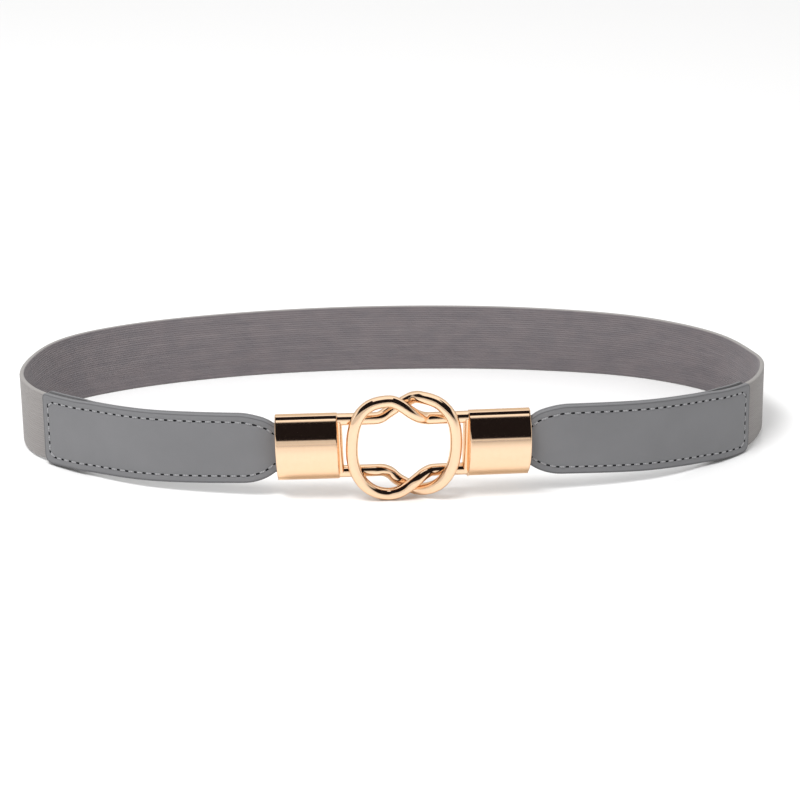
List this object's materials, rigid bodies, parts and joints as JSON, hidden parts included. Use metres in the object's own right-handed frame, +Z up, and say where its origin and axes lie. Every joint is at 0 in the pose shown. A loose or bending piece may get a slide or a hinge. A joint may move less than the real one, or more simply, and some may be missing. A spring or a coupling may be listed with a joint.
{
  "type": "elastic stretch belt",
  "caption": "Fastened stretch belt: ribbed elastic webbing with a leather tab at each end and an interlocking wire-hook buckle, standing on its edge.",
  "frame": {"origin": "middle of the belt's outline seen from above, on the surface that it stands on", "axes": "+X to the right along the loop's long way seen from the buckle's side, +Y from the buckle to the back, +Z up along the strap's width"},
  "size_m": [0.2736, 0.1408, 0.0402],
  "materials": {
    "elastic": "woven with fine lengthwise ribs",
    "leather": "smooth, satin",
    "gold_metal": "polished light gold plating"
  },
  "bodies": {
    "root": {"elastic_webbing": "elastic", "left_front_leather": "leather", "left_back_leather": "leather", "right_front_leather": "leather", "right_back_leather": "leather", "left_buckle_half": "gold_metal", "right_buckle_half": "gold_metal"}
  },
  "joints": []
}
